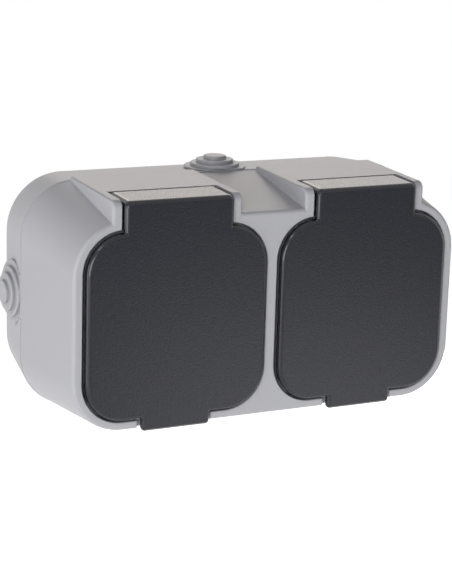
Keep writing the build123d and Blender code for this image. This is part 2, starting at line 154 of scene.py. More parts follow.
def make_world():
    """White where it is seen, and a gradient where it lights the part."""
    world = bpy.data.worlds.new("studio")
    bpy.context.scene.world = world
    world.use_nodes = True
    tree = world.node_tree
    tree.nodes.clear()
    out = tree.nodes.new("ShaderNodeOutputWorld")
    shader = tree.nodes.new("ShaderNodeBackground")
    shader.inputs["Color"].default_value = WHITE
    place = tree.nodes.new("ShaderNodeTexCoord")
    split = tree.nodes.new("ShaderNodeSeparateXYZ")
    span = tree.nodes.new("ShaderNodeMapRange")
    span.inputs["From Min"].default_value = -HORIZON_BLEND
    span.inputs["From Max"].default_value = HORIZON_BLEND
    span.inputs["To Min"].default_value = GROUND_LIGHT
    span.inputs["To Max"].default_value = SKY_LIGHT
    pick = tree.nodes.new("ShaderNodeMix")
    pick.inputs["B"].default_value = 1.0
    link = tree.links.new
    link(place.outputs["Generated"], split.inputs[0])
    link(split.outputs["Z"], span.inputs["Value"])
    link(seen_directly(tree), pick.inputs["Factor"])
    link(span.outputs["Result"], pick.inputs["A"])
    link(pick.outputs["Result"], shader.inputs["Strength"])
    link(shader.outputs[0], out.inputs[0])


bpy.context.scene.view_settings.view_transform = "Standard"
make_world()
print("world", bpy.context.scene.world.name)

# %% [markdown]
# Floor
#
# A pale floor stands well below the part, so its soft shadow stays out of the picture. Plain white
# paint would look grey under this soft light. The floor glows a little instead, like a light table, and
# the part's shadow dims what the lamps add.

# %% Make the floor
FLOOR_DROP = 0.30
FLOOR_SIZE = 2.4
FLOOR_GLOW = 0.85
FLOOR_COLOUR = (0.8, 0.8, 0.8, 1.0)


def make_floor():
    """A pale floor that is nearly white where it is seen, and dim where it lights the part."""
    low = min(corner[2] for corner in cad_box)
    bpy.ops.object.select_all(action="DESELECT")
    bpy.ops.mesh.primitive_plane_add(size=FLOOR_SIZE, location=(0, 0, low - FLOOR_DROP))
    floor = bpy.context.object
    floor.name = "floor"
    material = bpy.data.materials.new("light_table")
    material.use_nodes = True
    tree = material.node_tree
    shader = tree.nodes["Principled BSDF"]
    shader.inputs["Base Color"].default_value = FLOOR_COLOUR
    shader.inputs["Specular IOR Level"].default_value = 0.0
    shader.inputs["Emission Color"].default_value = WHITE
    pick = tree.nodes.new("ShaderNodeMix")
    pick.inputs["A"].default_value = GROUND_LIGHT
    pick.inputs["B"].default_value = FLOOR_GLOW
    tree.links.new(seen_directly(tree), pick.inputs["Factor"])
    tree.links.new(pick.outputs["Result"], shader.inputs["Emission Strength"])
    floor.data.materials.append(material)
    print("floor at", round(low - FLOOR_DROP, 4))


make_floor()

# %% [markdown]
# Lamps
#
# A large panel on the left and a lamp at the front left give the main light. A low lamp gives the lids
# their sheen, and a small one high on the left draws the bright arcs on their edges. A lamp behind
# shines along all that faces up, and a weak fill at the right keeps the far sides readable. Point lamps
# would be simpler, but a square lamp has soft shadows, and a glossy edge shows it as a clean line.

# %% Place the lamps
LAMPS = [
    ("side_panel", (-1.10, -0.10, -0.22), 1.0, 5.5, (1.0, 0.99, 0.98)),
    ("front_left_lamp", (-0.78, -0.92, 0.08), 0.6, 6.3, (0.95, 0.97, 1.0)),
    ("low_lamp", (0.25, -0.49, -0.27), 0.28, 0.72, (1.0, 1.0, 1.0)),
    ("corner_lamp", (-0.75, -0.67, 0.92), 0.20, 1.8, (0.97, 0.98, 1.0)),
    ("back_lamp", (0.55, 1.20, 0.75), 0.8, 4.0, (1.0, 0.92, 0.86)),
    ("right_fill_lamp", (0.85, 0.80, -0.25), 0.4, 2.0, (1.0, 0.98, 0.96)),
]


def make_lamp(name, place, size, power, colour):
    """A square lamp that points at the part."""
    data = bpy.data.lights.new(name, "AREA")
    data.shape = "SQUARE"
    data.size = size
    data.energy = power
    data.color = colour
    lamp = bpy.data.objects.new(name, data)
    bpy.context.scene.collection.objects.link(lamp)
    lamp.location = place
    lamp.rotation_euler = (-Vector(place)).to_track_quat("-Z", "Y").to_euler()


for lamp in LAMPS:
    make_lamp(*lamp)
print("lamps", [lamp[0] for lamp in LAMPS])

# %% [markdown]
# Tool grain
#
# Moulded plastic has a fine grain from its tool, which breaks up the gloss. Modelled as bumps, it would
# take millions of faces. A noise texture gives a height for bump instead, and shifts the roughness with
# it. All finishes use the grain, so it is a node group, built once and placed in each finish with its
# own values.

# %% Make the grain group
GRAIN_DETAIL = 3.0
GRAIN_SHARPNESS = 0.6
GRAIN_SCALE = 1500.0
GRAIN_SPREAD = 0.1
SATIN = 0.4
HALF = 0.5


def new_group(name, inputs, outputs):
    """An empty shader group with named inputs and outputs, and its two end nodes."""
    group = bpy.data.node_groups.new(name, "ShaderNodeTree")
    for label, kind, value in inputs:
        socket = group.interface.new_socket(label, in_out="INPUT", socket_type=kind)
        socket.default_value = value
    for label, kind in outputs:
        group.interface.new_socket(label, in_out="OUTPUT", socket_type=kind)
    start = group.nodes.new("NodeGroupInput")
    end = group.nodes.new("NodeGroupOutput")
    return group, start, end


def make_grain_group():
    """Fine tool grain: a height for bump, and a roughness that follows it."""
    group, start, end = new_group(
        "tool_grain",
        [("Vector", "NodeSocketVector", (0, 0, 0)), ("Scale", "NodeSocketFloat", GRAIN_SCALE),
         ("Roughness", "NodeSocketFloat", SATIN), ("Spread", "NodeSocketFloat", GRAIN_SPREAD)],
        [("Height", "NodeSocketFloat"), ("Roughness", "NodeSocketFloat")])
    fine = group.nodes.new("ShaderNodeTexNoise")
    fine.inputs["Detail"].default_value = GRAIN_DETAIL
    fine.inputs["Roughness"].default_value = GRAIN_SHARPNESS
    span = group.nodes.new("ShaderNodeMapRange")
    span.inputs["To Min"].default_value = -HALF
    span.inputs["To Max"].default_value = HALF
    change = group.nodes.new("ShaderNodeMath")
    change.operation = "MULTIPLY_ADD"
    link = group.links.new
    link(start.outputs["Vector"], fine.inputs["Vector"])
    link(start.outputs["Scale"], fine.inputs["Scale"])
    link(fine.outputs["Fac"], span.inputs["Value"])
    link(span.outputs["Result"], change.inputs[0])
    link(start.outputs["Spread"], change.inputs[1])
    link(start.outputs["Roughness"], change.inputs[2])
    link(fine.outputs["Fac"], end.inputs["Height"])
    link(change.outputs[0], end.inputs["Roughness"])
    return group


grain_group = make_grain_group()
print("group", grain_group.name)

# %% [markdown]
# Colour drift
#
# The colour of a moulding drifts a little over a hand's width, with faint flow lines. A painted mask
# could show that, but a slow, distorted noise needs no picture and fits a piece of any size. It shifts
# only how light the colour is. All finishes share it as a second group.

# %% Make the drift group
DRIFT_DETAIL = 2.0
DRIFT_DISTORTION = 0.6
DRIFT_AMOUNT = 0.04
DRIFT_SCALE = 18.0


def make_drift_group():
    """Slow drift of a colour over the surface, with faint flow lines from the moulding."""
    group, start, end = new_group(
        "colour_drift",
        [("Vector", "NodeSocketVector", (0, 0, 0)), ("Colour", "NodeSocketColor", WHITE),
         ("Amount", "NodeSocketFloat", DRIFT_AMOUNT), ("Scale", "NodeSocketFloat", DRIFT_SCALE)],
        [("Colour", "NodeSocketColor")])
    slow = group.nodes.new("ShaderNodeTexNoise")
    slow.inputs["Detail"].default_value = DRIFT_DETAIL
    slow.inputs["Distortion"].default_value = DRIFT_DISTORTION
    centred = group.nodes.new("ShaderNodeMath")
    centred.operation = "SUBTRACT"
    centred.inputs[1].default_value = HALF
    scaled = group.nodes.new("ShaderNodeMath")
    scaled.operation = "MULTIPLY_ADD"
    scaled.inputs[2].default_value = 1.0
    tint = group.nodes.new("ShaderNodeHueSaturation")
    link = group.links.new
    link(start.outputs["Vector"], slow.inputs["Vector"])
    link(start.outputs["Scale"], slow.inputs["Scale"])
    link(slow.outputs["Fac"], centred.inputs[0])
    link(centred.outputs[0], scaled.inputs[0])
    link(start.outputs["Amount"], scaled.inputs[1])
    link(scaled.outputs[0], tint.inputs["Value"])
    link(start.outputs["Colour"], tint.inputs["Color"])
    link(tint.outputs[0], end.inputs["Colour"])
    return group


drift_group = make_drift_group()
print("group", drift_group.name)

# %% [markdown]
# Mask of square faces
#
# Flat faces and rounded edges of one moulding can differ in gloss. The edges could be marked by hand in
# the mesh, but the surface's own normal tells them apart: on a face square to the piece's axes, one of
# its three parts is close to 1 in size. The mask fades out between two angles off square.

# %% Make the mask group
SQUARE_UP_TO = math.radians(4)
ROUND_FROM = math.radians(10)


def make_flat_group():
    """A mask that is 1 on faces square to the piece's axes and 0 on rounded edges and corners."""
    group, start, end = new_group(
        "square_faces", [("Normal", "NodeSocketVector", (0, 0, 1))], [("Mask", "NodeSocketFloat")])
    size = group.nodes.new("ShaderNodeVectorMath")
    size.operation = "ABSOLUTE"
    split = group.nodes.new("ShaderNodeSeparateXYZ")
    link = group.links.new
    link(start.outputs["Normal"], size.inputs[0])
    link(size.outputs[0], split.inputs[0])
    largest = split.outputs["X"]
    for label in ("Y", "Z"):
        either = group.nodes.new("ShaderNodeMath")
        either.operation = "MAXIMUM"
        link(largest, either.inputs[0])
        link(split.outputs[label], either.inputs[1])
        largest = either.outputs[0]
    span = group.nodes.new("ShaderNodeMapRange")
    span.inputs["From Min"].default_value = math.cos(ROUND_FROM)
    span.inputs["From Max"].default_value = math.cos(SQUARE_UP_TO)
    link(largest, span.inputs["Value"])
    link(span.outputs["Result"], end.inputs["Mask"])
    return group


flat_group = make_flat_group()
print("group", flat_group.name)

# %% [markdown]
# Finishes
#
# The object has plastics, rubbers and two metals. Each could have a node tree of its own, but one
# recipe with a few plain values, for colour, gloss, grain and drift, keeps them alike where the real
# ones are alike. Values that hold all over a surface stay on the shader's own sockets.

# %% Make the finishes


def make_finish(name, colour, roughness, grain_scale, grain_depth, drift=DRIFT_AMOUNT,
                spread=GRAIN_SPREAD, metallic=0.0, specular=0.5):
    """A procedural finish with tool grain and colour drift."""
    material = bpy.data.materials.new(name)
    material.use_nodes = True
    tree = material.node_tree
    shader = tree.nodes["Principled BSDF"]
    shader.inputs["Metallic"].default_value = metallic
    shader.inputs["Specular IOR Level"].default_value = specular
    place = tree.nodes.new("ShaderNodeTexCoord")
    grain = tree.nodes.new("ShaderNodeGroup")
    grain.node_tree = grain_group
    grain.inputs["Scale"].default_value = grain_scale
    grain.inputs["Roughness"].default_value = roughness
    grain.inputs["Spread"].default_value = spread
    tone = tree.nodes.new("ShaderNodeGroup")
    tone.node_tree = drift_group
    tone.inputs["Colour"].default_value = (*colour, 1.0)
    tone.inputs["Amount"].default_value = drift
    bump = tree.nodes.new("ShaderNodeBump")
    bump.inputs["Strength"].default_value = 1.0
    bump.inputs["Distance"].default_value = grain_depth
    link = tree.links.new
    link(place.outputs["Object"], grain.inputs["Vector"])
    link(place.outputs["Object"], tone.inputs["Vector"])
    link(tone.outputs["Colour"], shader.inputs["Base Color"])
    link(grain.outputs["Roughness"], shader.inputs["Roughness"])
    link(grain.outputs["Height"], bump.inputs["Height"])
    link(bump.outputs["Normal"], shader.inputs["Normal"])
    return material


finishes = {
    "housing": make_finish("satin_grey_plastic", (0.47, 0.468, 0.49), 0.42, 900.0, 0.00003, specular=0.4),
    "lid": make_finish("textured_anthracite_plastic", (0.003, 0.0038, 0.0105), 0.28, 1500.0, 0.00005,
                       specular=0.27),
    "insert": make_finish("smooth_grey_plastic", (0.36, 0.36, 0.38), 0.35, 700.0, 0.00002),
    "grommet": make_finish("grey_rubber", (0.46, 0.458, 0.48), 0.45, 800.0, 0.00005),
    "seal": make_finish("black_rubber", (0.018, 0.018, 0.019), 0.65, 600.0, 0.00006),
    "carrier": make_finish("cream_plastic", (0.70, 0.67, 0.60), 0.45, 700.0, 0.00003),
    "steel": make_finish("zinc_plated_steel", (0.62, 0.63, 0.65), 0.32, 400.0, 0.00001,
                         drift=0.08, spread=0.15, metallic=1.0),
    "contact": make_finish("brass_strip", (0.72, 0.55, 0.25), 0.30, 300.0, 0.00001,
                           drift=0.08, spread=0.12, metallic=1.0),
}
print("finishes", sorted(finishes))

# %% [markdown]
# Polished lid edges
#
# The texture of the lids' tool ends where the surface rolls over an edge, so the edges come out smooth
# and catch bright lines. A second material on the edge faces would leave a hard seam. The mask of
# square faces fades the roughness, the grain and a thin coat of gloss from one to the other.

# %% Polish the lids' edges
EDGE_ROUGHNESS = 0.18
EDGE_COAT = 0.45


def polish_edges(material):
    """Let the grain stop at the rounded edges, which the tool leaves smooth and glossy."""
    tree = material.node_tree
    shader = tree.nodes["Principled BSDF"]
    bump = tree.nodes["Bump"]
    place = tree.nodes["Texture Coordinate"]
    faces = tree.nodes.new("ShaderNodeGroup")
    faces.node_tree = flat_group
    gloss = tree.nodes.new("ShaderNodeMix")
    gloss.inputs["A"].default_value = EDGE_ROUGHNESS
    height = tree.nodes.new("ShaderNodeMath")
    height.operation = "MULTIPLY"
    shine = tree.nodes.new("ShaderNodeMapRange")
    shine.inputs["To Min"].default_value = EDGE_COAT
    shine.inputs["To Max"].default_value = 0.0
    shader.inputs["Coat Roughness"].default_value = EDGE_ROUGHNESS
    link = tree.links.new
    link(place.outputs["Normal"], faces.inputs["Normal"])
    link(faces.outputs["Mask"], shine.inputs["Value"])
    link(shine.outputs["Result"], shader.inputs["Coat Weight"])
    link(faces.outputs["Mask"], gloss.inputs["Factor"])
    link(shader.inputs["Roughness"].links[0].from_socket, gloss.inputs["B"])
    link(gloss.outputs["Result"], shader.inputs["Roughness"])
    link(bump.inputs["Height"].links[0].from_socket, height.inputs[0])
    link(faces.outputs["Mask"], height.inputs[1])
    link(height.outputs[0], bump.inputs["Height"])


polish_edges(finishes["lid"])
print("polished edges on", finishes["lid"].name)

# %% [markdown]
# Painted shade in the grooves
#
# Little light comes into the narrow grooves between a grommet's rings, and that shade is painted
# into their colour. A dark ring could be painted into each groove. The Ambient Occlusion node finds
# them all at once: it darkens the colour of what lies within reach of another surface of the same piece.

# %% Paint shade into the grommets' grooves
GROOVE_SHADE_REACH = 0.0025
GROOVE_SHADE_DARKEST = 0.25


def paint_groove_shade(material):
    """Paint shade into the colour of a finish's grooves, where little light comes."""
    tree = material.node_tree
    shader = tree.nodes["Principled BSDF"]
    # Painted shade: the occlusion darkens the base colour in the grooves, where little light comes.
    groove = tree.nodes.new("ShaderNodeAmbientOcclusion")
    groove.inputs["Distance"].default_value = GROOVE_SHADE_REACH
    groove.only_local = True
    span = tree.nodes.new("ShaderNodeMapRange")
    span.inputs["To Min"].default_value = GROOVE_SHADE_DARKEST
    tint = tree.nodes.new("ShaderNodeHueSaturation")
    link = tree.links.new
    link(groove.outputs["AO"], span.inputs["Value"])
    link(span.outputs["Result"], tint.inputs["Value"])
    link(shader.inputs["Base Color"].links[0].from_socket, tint.inputs["Color"])
    link(tint.outputs[0], shader.inputs["Base Color"])


paint_groove_shade(finishes["grommet"])
print("shaded grooves on", finishes["grommet"].name)

# %% [markdown]
# Finishes on the solids
#
# The record names the material slot of every solid, so a loop over its rows dresses them all. Setting
# the finishes one by one would repeat what the record already says.

# %% Give every solid its finish
for row in frame["record"]["subparts"]:
    mesh = nodes[row["node"]].data
    mesh.materials.clear()
    mesh.materials.append(finishes[row["material_slot"]])

# %% [markdown]
# Skins
#
# The solids have the right outline, with flat bevels for edges, and their meshes are loose triangles.
# Drawing each piece again would lose that outline. So a copy of a solid is merged into one skin, and
# its flat faces are joined, which leaves only the edges that the real piece has.

# %% Make the skin helpers
MERGE = 1e-6
FLAT = math.radians(0.4)


def pick_only(piece):
    """Make a piece the only one selected, and the active one."""
    bpy.ops.object.select_all(action="DESELECT")
    piece.select_set(True)
    bpy.context.view_layer.objects.active = piece


def skin_copy(node, name):
    """A merged copy of a solid's mesh, with its flat faces joined."""
    piece = bpy.data.objects.new(name, nodes[node].data.copy())
    bpy.context.scene.collection.objects.link(piece)
    pick_only(piece)
    bpy.ops.object.mode_set(mode="EDIT")
    bpy.ops.mesh.select_all(action="SELECT")
    bpy.ops.mesh.remove_doubles(threshold=MERGE)
    bpy.ops.mesh.dissolve_limited(angle_limit=FLAT)
    bpy.ops.object.mode_set(mode="OBJECT")
    return piece


print("faces join below", round(math.degrees(FLAT), 2), "degrees")

# %% [markdown]
# Rounded edges
#
# A moulded piece has no sharp edge: each one carries a small radius that catches the light. Bevelling
# by hand, edge after edge, would leave seams where two widths meet. Here each sharp edge gets a bevel
# weight from a rule, and one Bevel modifier rounds them all at once, each by its own width.

# %% Make the rounding helpers
SHARP = math.radians(20)
SLANT = math.radians(65)
PLAIN_STEPS = 2
ROUND_STEPS = 3


def apply_modifier(piece, modifier):
    """Apply one modifier of a piece."""
    pick_only(piece)
    bpy.ops.object.modifier_apply(modifier=modifier.name)


def soften(piece, segments, rule):
    """Round the sharp edges, each by the width in mm that the rule gives for its place and angle."""
    mesh = bmesh.new()
    mesh.from_mesh(piece.data)
    weights = mesh.edges.layers.float.new("bevel_weight_edge")
    widths = {}
    for edge in mesh.edges:
        if len(edge.link_faces) == 2 and edge.calc_face_angle(0.0) > SHARP:
            middle = (edge.verts[0].co + edge.verts[1].co) / 2
            widths[edge] = rule(middle / MM, edge.calc_face_angle(), edge.is_convex)
    widest = max(widths.values())
    for edge, width in widths.items():
        edge[weights] = width / widest
    mesh.to_mesh(piece.data)
    mesh.free()
    bevel = piece.modifiers.new("rounding", "BEVEL")
    bevel.limit_method = "WEIGHT"
    bevel.width = widest * MM
    bevel.segments = segments
    bevel.use_clamp_overlap = False
    bevel.loop_slide = False
    apply_modifier(piece, bevel)


def evenly(width):
    """A rule that gives every edge the same width."""
    return lambda middle, angle, convex: width


def by_turn(outer, inner):
    """A rule with one width for edges that stand out and one for edges in a corner."""
    return lambda middle, angle, convex: outer if convex else inner


print("edges round above", round(math.degrees(SHARP)), "degrees")

# %% [markdown]
# Shading and placing
#
# A finished piece is shaded smooth over its radii and stays sharp where it folds. Its large flat faces
# would still look curved near an edge, so a Weighted Normal modifier lets the large faces lead. The
# piece then takes its finish, stands for its solid and moves with a body. One helper does this for all,
# so none is forgotten.

# %% Make the dressing helpers
SMOOTH_UP_TO = math.radians(40)


def dress(piece, slot, *replaced):
    """Shade a piece, give it its finish and let it stand for the solids it replaces."""
    pick_only(piece)
    bpy.ops.object.shade_smooth_by_angle(angle=SMOOTH_UP_TO)
    even = piece.modifiers.new("even_shading", "WEIGHTED_NORMAL")
    even.keep_sharp = True
    apply_modifier(piece, even)
    piece.data.materials.clear()
    piece.data.materials.append(finishes[slot])
    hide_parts(*replaced)
    print(piece.name, "faces", len(piece.data.polygons))


def settle(piece, body, slot, *replaced):
    """Dress a piece and put it on its body."""
    dress(piece, slot, *replaced)
    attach(piece, body)


print("shaded smooth up to", round(math.degrees(SMOOTH_UP_TO)), "degrees")

# %% [markdown]
# Housing
#
# The housing is a tray on the wall and a cover in front of it. A subdivided cage could give soft edges
# too, but would pull the long straight walls out of true. The rounding leaves them flat: bevels and the
# rim get the wide radius, and plain right-angled edges only lose their sharpness. The inner edges of
# the hinge ears run smoothly over the nose, so they keep one width from end to end.

# %% Round the cover and the base
RIM_ROUND = 0.45
PLAIN_ROUND = 0.22
RIM_ZONE = 0.1
EAR_LOW = 30.0
rim_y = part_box("front_cover")[0].y / MM


def cover_rounding(middle, angle, convex):
    """Wide on bevels and on the rim below the ears, plain elsewhere."""
    on_rim = middle.y < rim_y + RIM_ZONE and middle.z < EAR_LOW
    return RIM_ROUND if angle < SLANT or on_rim else PLAIN_ROUND


cover = skin_copy("front_cover", "cover_shell")
soften(cover, ROUND_STEPS, cover_rounding)
settle(cover, "housing", "housing", "front_cover")
base = skin_copy("rear_base", "base_tray")
soften(base, PLAIN_STEPS, evenly(PLAIN_ROUND))
settle(base, "housing", "housing", "rear_base")

# %% [markdown]
# Hinge tabs of the lids
#
# Each lid is one anthracite moulding with a hinge tab above and a finger lip below. In the solid, the
# bar behind the tab is a hair higher and narrower than the tab. A Boolean could trim the bar, but would
# leave slivers. So the points of both are moved until they lie on one outline, and the step between
# them closes.

# %% Make the tab helpers
TAB_STEP = 0.25
TAB_HALF = 19.75
TAB_CORNER = 2.2
TAB_ZONE = 7.0
NEAR = 0.05


def move_points(piece, picked, step):
    """Move some points of a piece by a step."""
    pick_only(piece)
    bpy.ops.object.mode_set(mode="EDIT")
    bpy.ops.mesh.select_mode(type="VERT")
    bpy.ops.mesh.select_all(action="DESELECT")
    mesh = bmesh.from_edit_mesh(piece.data)
    mesh.verts.ensure_lookup_table()
    for index in picked:
        mesh.verts[index].select_set(True)
    mesh.select_flush(True)
    bpy.ops.transform.translate(value=step)
    bpy.ops.object.mode_set(mode="OBJECT")


def off_outline(across, height, top):
    """Distance of a point from the tab's round-cornered outline."""
    over = max(across - TAB_HALF + TAB_CORNER, 0.0)
    above = max(height - top + TAB_CORNER, 0.0)
    return abs(math.hypot(over, above) - TAB_CORNER)


def top_of_bar(lid, back_y):
    """Height of the bar, read from the points on the back of the lid's plate."""
    return max(vert.co.z for vert in lid.data.vertices if abs(vert.co.y / MM - back_y) < NEAR) / MM


def level_tab(lid, middle_x, back_y):
    """Raise the tab and widen the bar behind it until both lie on one outline, then close the step."""
    top = top_of_bar(lid, back_y)
    raised, widened = [], {-1: [], 1: []}
    for vert in lid.data.vertices:
        x, y, z = vert.co / MM
        across = abs(x - middle_x)
        if z < top - TAB_ZONE:
            continue
        in_front = y < back_y + NEAR
        behind = y > back_y - NEAR
        if in_front and behind:
            raising = off_outline(across, z + TAB_STEP, top) < off_outline(across + TAB_STEP, z, top)
            in_front, behind = raising, not raising
        if in_front and z > top - TAB_CORNER - 2 * TAB_STEP:
            raised.append(vert.index)
        elif behind and across > TAB_HALF - TAB_CORNER - 2 * TAB_STEP:
            widened[1 if x > middle_x else -1].append(vert.index)
    move_points(lid, raised, (0, 0, TAB_STEP * MM))
    for sign, picked in widened.items():
        move_points(lid, picked, (sign * TAB_STEP * MM, 0, 0))
    bpy.ops.object.mode_set(mode="EDIT")
    bpy.ops.mesh.select_all(action="SELECT")
    bpy.ops.mesh.remove_doubles(threshold=NEAR * MM)
    bpy.ops.mesh.dissolve_degenerate(threshold=NEAR * MM)
    bpy.ops.mesh.dissolve_limited(angle_limit=FLAT)
    bpy.ops.object.mode_set(mode="OBJECT")
    print(lid.name, "points raised", len(raised), "widened", len(widened[-1]) + len(widened[1]))


print("tabs are", 2 * TAB_HALF, "mm wide")

# %% [markdown]
# Lids
#
# A lid's front edge has the largest radius on the object, which shows as a thin bright line on the side
# towards the lamp. One width all over would eat up the lip, whose corners are tight, and the thin
# strips behind. So the rule shrinks the radius on the lip, and leaves only a fine one on the back.

# %% Round the lids
LID_WALL = 2.0
LID_STEPS = 4
LID_RADIUS = 0.62
LIP_RADIUS = 0.30
LID_FINE = 0.08
LIP_ZONE = 4.0
FRONT_ZONE = 1.3


def lid_rounding(front, lip):
    """The rule for a lid whose front and lip zones start at these places."""
    def rule(middle, angle, convex):
        if middle.y > front + FRONT_ZONE or angle > SLANT:
            return LID_FINE
        return LIP_RADIUS if middle.z < lip else LID_RADIUS
    return rule


for side in SIDES:
    lid = skin_copy(f"lid_{side}", f"lid_{side}_moulding")
    low, high = [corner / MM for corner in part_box(f"lid_{side}")]
    level_tab(lid, (low.x + high.x) / 2, low.y + LID_WALL)
    soften(lid, LID_STEPS, lid_rounding(low.y, low.z + LIP_ZONE))
    settle(lid, f"{side}_lid", "lid", f"lid_{side}")

# %% [markdown]
# Cable grommets
#
# The four grommets are soft rubber, with rings that are cut back to suit the cable. They could be
# turned from a profile, but their flange follows the slanted wall, and the solid has that already.
# Rubber flows well in its mould, so the outer edges are round, while the grooves between the rings stay
# narrow.

# %% Round the grommets
RING_EDGE = 0.40
RING_GROOVE = 0.10
grommets = skin_copy("cable_grommets", "grommet_set")
soften(grommets, ROUND_STEPS, by_turn(RING_EDGE, RING_GROOVE))
settle(grommets, "housing", "grommet", "cable_grommets")

# %% [markdown]
# Socket inserts and carrier
#
# With a lid open, the round well of a socket shows, with its two pin holes, its side guides and the
# windows of the earth clips. It is one smooth moulding, clamped to the carrier behind it. Well and
# holes could be drawn again from circles, but copies of the solids have the right form already, so they
# only get their edges rounded.

# %% Round the inserts and the carrier
WELL_EDGE = 0.30
WELL_CORNER = 0.12
CARRIER_ROUND = 0.12
for side in SIDES:
    insert = skin_copy(f"socket_insert_{side}", f"socket_well_{side}")
    soften(insert, ROUND_STEPS, by_turn(WELL_EDGE, WELL_CORNER))
    settle(insert, "housing", "insert", f"socket_insert_{side}")
carrier = skin_copy("contact_carrier", "carrier_block")
soften(carrier, PLAIN_STEPS, evenly(CARRIER_ROUND))
settle(carrier, "housing", "carrier", "contact_carrier")

# %% [markdown]
# Rubber pads in the lids
#
# A soft pad in each lid closes on the socket's collar. The collar presses on a flat ring, and inside
# that ring the pad is dished, so that it doesn't touch the well. The dish is cut with a Boolean
# modifier from a disc with a rounded end, which is quicker than drawing rings into the pad's outline.

# %% Dish the pads
DISH_RADIUS = 18.5
DISH_DEPTH = 1.2
DISH_ROUND = 0.6
DISH_STEPS = 6
DISH_SIDES = 96
PAD_EDGE = 0.45
PAD_RIM = 0.30
SQUARE_ON = 0.9


def cut_away(piece, cutter):
    """Cut one piece with another and remove the cutter."""
    boolean = piece.modifiers.new("cut", "BOOLEAN")
    boolean.operation = "DIFFERENCE"
    boolean.solver = "EXACT"
    boolean.object = cutter
    apply_modifier(piece, boolean)
    bpy.data.objects.remove(cutter)


def make_dish(place):
    """A disc with a rounded front end, half sunk into the pad at a place on its face."""
    bpy.ops.object.select_all(action="DESELECT")
    bpy.ops.mesh.primitive_cylinder_add(vertices=DISH_SIDES, radius=DISH_RADIUS * MM,
                                        depth=2 * DISH_DEPTH * MM, location=place,
                                        rotation=(math.pi / 2, 0, 0))
    dish = bpy.context.object
    bpy.ops.object.transform_apply(location=True, rotation=True, scale=True)
    bpy.ops.object.mode_set(mode="EDIT")
    bpy.ops.mesh.select_mode(type="FACE")
    bpy.ops.mesh.select_all(action="DESELECT")
    mesh = bmesh.from_edit_mesh(dish.data)
    for face in mesh.faces:
        face.select_set(face.normal.y < -SQUARE_ON)
    bpy.ops.mesh.bevel(offset=DISH_ROUND * MM, segments=DISH_STEPS, affect="EDGES")
    bpy.ops.object.mode_set(mode="OBJECT")
    return dish


def pad_rounding(middle, angle, convex):
    """Wide on the slanted outer corners, narrower on the right-angled edges."""
    return PAD_EDGE if convex and angle < SLANT else PAD_RIM


for side in SIDES:
    pad = skin_copy(f"lid_seal_{side}", f"lid_pad_{side}")
    low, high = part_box(f"lid_seal_{side}")
    cut_away(pad, make_dish(((low.x + high.x) / 2, high.y, (low.z + high.z) / 2)))
    soften(pad, ROUND_STEPS, pad_rounding)
    settle(pad, f"{side}_lid", "seal", f"lid_seal_{side}")

# %% [markdown]
# Hinge pins
#
# A plain steel pin carries each lid and shows its end in the right ear. A new cylinder would do, but
# the solid already has the right length, so a copy of it gets its two ends rounded, as a turned pin has
# them.

# %% Make the pin helper
PIN_ROUND = 0.35


def make_pin(side):
    """The pin of one lid, rounded at its ends."""
    pin = skin_copy(f"hinge_pin_{side}", f"hinge_rod_{side}")
    soften(pin, ROUND_STEPS, evenly(PIN_ROUND))
    settle(pin, "housing", "steel", f"hinge_pin_{side}")


print("pin ends round by", PIN_ROUND, "mm")

# %% [markdown]
# Coil of a lid spring
#
# A torsion spring on each hinge pin shuts the lid. Its solid is a plain sleeve. The wire could be a
# bevelled curve along a helix, but the Screw modifier winds it in one step: a small circle is turned
# about the hinge axis and moved along it, and stays open at both ends for the legs.

# %% Make the coil helpers
WIRE = 0.5
WIRE_SIDES = 12
TURNS = 12.5
TURN_STEPS = 28
QUARTER = math.pi / 2


def wind_coil(name, first, last, hinge, coil):
    """Wire wound about the hinge axis, between two places along it, with the given coil radius."""
    bpy.ops.object.select_all(action="DESELECT")
    bpy.ops.mesh.primitive_circle_add(vertices=WIRE_SIDES, radius=WIRE / 2 * MM,
                                      location=(first, hinge.y, hinge.z), rotation=(QUARTER, 0, 0))
    spring = bpy.context.object
    spring.name = name
    bpy.ops.object.transform_apply(location=False, rotation=True, scale=True)
    bpy.ops.object.mode_set(mode="EDIT")
    bpy.ops.mesh.select_all(action="SELECT")
    bpy.ops.transform.translate(value=(0, 0, coil))
    bpy.ops.object.mode_set(mode="OBJECT")
    screw = spring.modifiers.new("wind", "SCREW")
    screw.axis = "X"
    screw.angle = -2 * math.pi * TURNS
    screw.screw_offset = last - first
    screw.steps = screw.render_steps = round(TURNS * TURN_STEPS)
    apply_modifier(spring, screw)
    bpy.ops.object.transform_apply(location=True, rotation=True, scale=True)
    return spring


print("turns in a coil", TURNS)

# %% [markdown]
# Legs of a lid spring
#
# One leg lies in the lid and one is led below the knuckle to the cover. Separate rods would show a seam
# where they meet the coil. So the open ends of the wire are drawn out with extrude, and bent with spin.

# %% Make the leg helpers
LEG_BEND = 0.6
BEND_STEPS = 6
RING_REACH = 0.55


def pick_ring(piece, middle):
    """Select the ring of wire points round a place, and nothing else."""
    bpy.ops.mesh.select_all(action="DESELECT")
    mesh = bmesh.from_edit_mesh(piece.data)
    for vert in mesh.verts:
        vert.select_set((vert.co - middle).length < RING_REACH * WIRE * MM)
    mesh.select_flush(True)


def draw_out(step):
    """Extrude the picked ring by a step."""
    bpy.ops.mesh.extrude_region_move(TRANSFORM_OT_translate={"value": step})


def bend_about(center):
    """Turn the picked ring by a quarter about a place."""
    bpy.ops.mesh.spin(steps=BEND_STEPS, angle=QUARTER, center=center, axis=(1, 0, 0))


